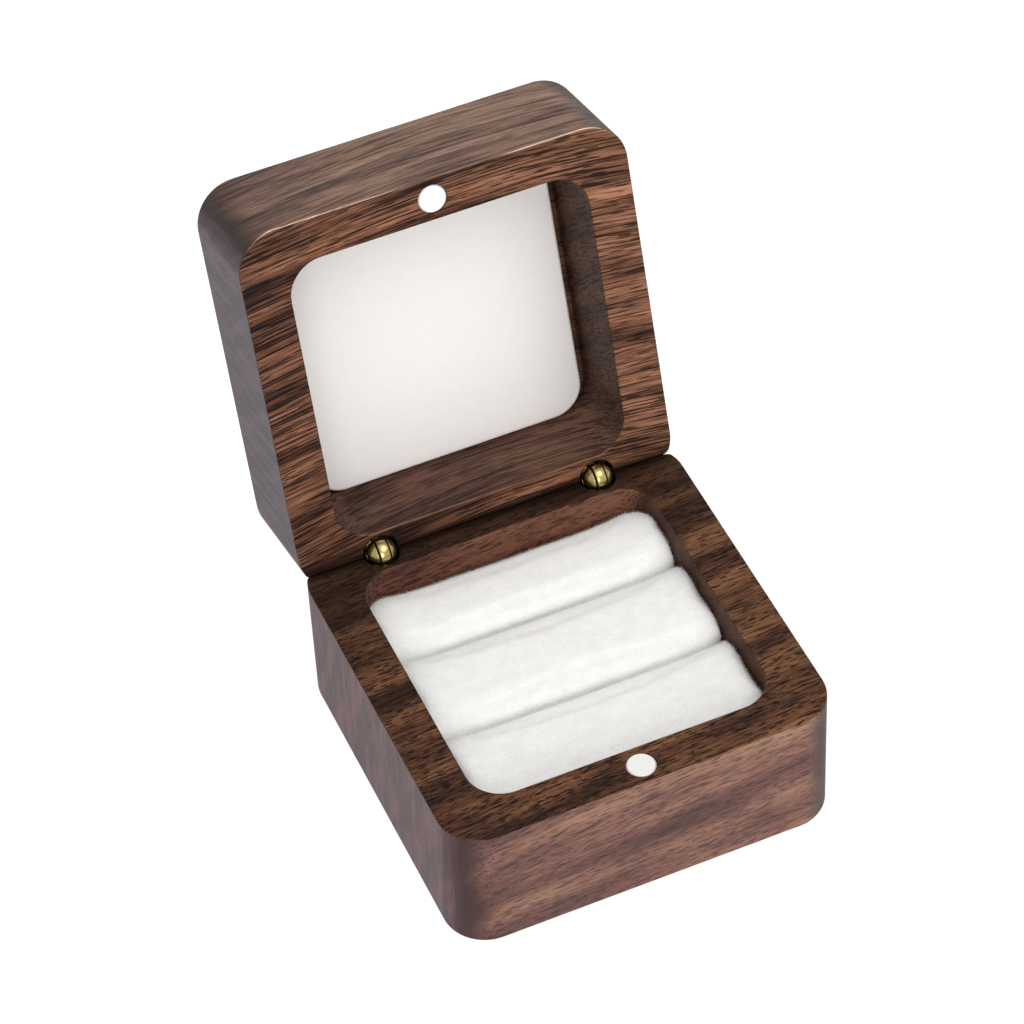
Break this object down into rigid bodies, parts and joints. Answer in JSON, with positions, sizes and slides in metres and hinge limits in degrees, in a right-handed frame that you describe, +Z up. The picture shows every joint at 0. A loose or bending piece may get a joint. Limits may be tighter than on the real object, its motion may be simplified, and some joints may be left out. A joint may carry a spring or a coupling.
{
  "type": "ring display box",
  "caption": "Square wooden box with a hinged lid, held shut by magnets, and soft velvet rolls with slots that hold finger rings upright.",
  "frame": {"origin": "middle of the flat underside of the base", "axes": "+Z up, +Y from the front of the base to the hinges, +X to the right as seen from the front, along the hinge line"},
  "size_m": [0.055, 0.083, 0.0708],
  "materials": {
    "walnut": "satin",
    "brass": "polished",
    "nickel": "satin",
    "white_velvet": "matte",
    "lining_velvet": "matte",
    "foam": "matte",
    "card": "matte"
  },
  "bodies": {
    "base": {"base_box": "walnut", "base_magnet": "nickel", "insert_card": "card", "rear_roll_core": "foam", "middle_roll_core": "foam", "front_roll_core": "foam", "rear_roll_cover": "white_velvet", "middle_roll_cover": "white_velvet", "front_roll_cover": "white_velvet", "left_hinge_base_leaf": "brass", "right_hinge_base_leaf": "brass", "left_hinge_pin": "brass", "right_hinge_pin": "brass"},
    "lid": {"lid_box": "walnut", "lid_magnet": "nickel", "lining_card": "card", "lining_pad": "foam", "lining_cover": "lining_velvet", "left_hinge_lid_leaf": "brass", "right_hinge_lid_leaf": "brass"}
  },
  "joints": [
    {"name": "lid_hinge", "type": "hinge", "parent": "base", "child": "lid", "pos_m": [0, 0.02435, 0.021], "axis": [1, 0, 0], "range_deg": [0, 106.3]}
  ]
}
